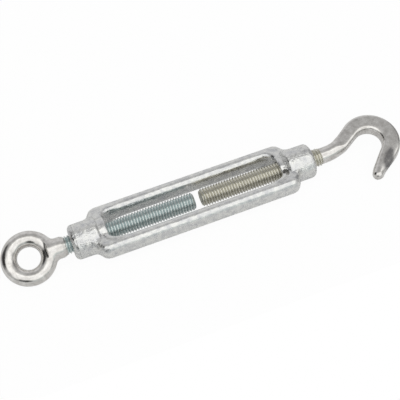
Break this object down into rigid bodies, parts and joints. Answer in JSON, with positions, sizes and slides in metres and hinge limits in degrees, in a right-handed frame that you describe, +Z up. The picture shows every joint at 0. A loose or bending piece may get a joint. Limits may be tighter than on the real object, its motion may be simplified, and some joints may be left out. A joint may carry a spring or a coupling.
{
  "type": "rigging turnbuckle",
  "caption": "Open-body turnbuckle: a forged frame turned on a left-hand eye bolt and a right-hand hook bolt draws the eye and the hook together to tension a wire or rope.",
  "frame": {"origin": "middle of the footprint, on the ground the part lies on", "axes": "+X along the bolts from the eye towards the hook, +Z up out of the frame's open side, +Y completes a right-handed frame"},
  "size_m": [0.181, 0.0322, 0.0153],
  "materials": {
    "frame_zinc": "drop-forged steel with a bright, slightly mottled zinc plating",
    "eye_bolt_zinc": "forged and rolled steel with a smooth, bright zinc plating",
    "hook_bolt_zinc": "forged and rolled steel with a smooth, bright zinc plating, faintly warm"
  },
  "bodies": {
    "eye_bolt": {"eye_bolt": "eye_bolt_zinc"},
    "frame_nose": {"frame_nose_ring": "frame_zinc"},
    "frame": {"frame": "frame_zinc"},
    "hook_bolt": {"hook_bolt": "hook_bolt_zinc"}
  },
  "joints": [
    {"name": "frame_travel", "type": "slide", "parent": "eye_bolt", "child": "frame_nose", "axis": [1, 0, 0], "range_m": [-0.0013, 0.0351]},
    {"name": "frame_turn", "type": "hinge", "parent": "frame_nose", "child": "frame", "pos_m": [-0.00527, 0.00269, 0.00765], "axis": [-1, 0, 0], "range_deg": [-360, 10080]},
    {"name": "hook_travel", "type": "slide", "parent": "frame_nose", "child": "hook_bolt", "axis": [1, 0, 0], "range_m": [-0.0013, 0.0351]}
  ],
  "couplings": [
    {"joint": "frame_travel", "follows": "frame_turn", "m_per_rad": 0.00019894},
    {"joint": "hook_travel", "follows": "frame_turn", "m_per_rad": 0.00019894}
  ]
}
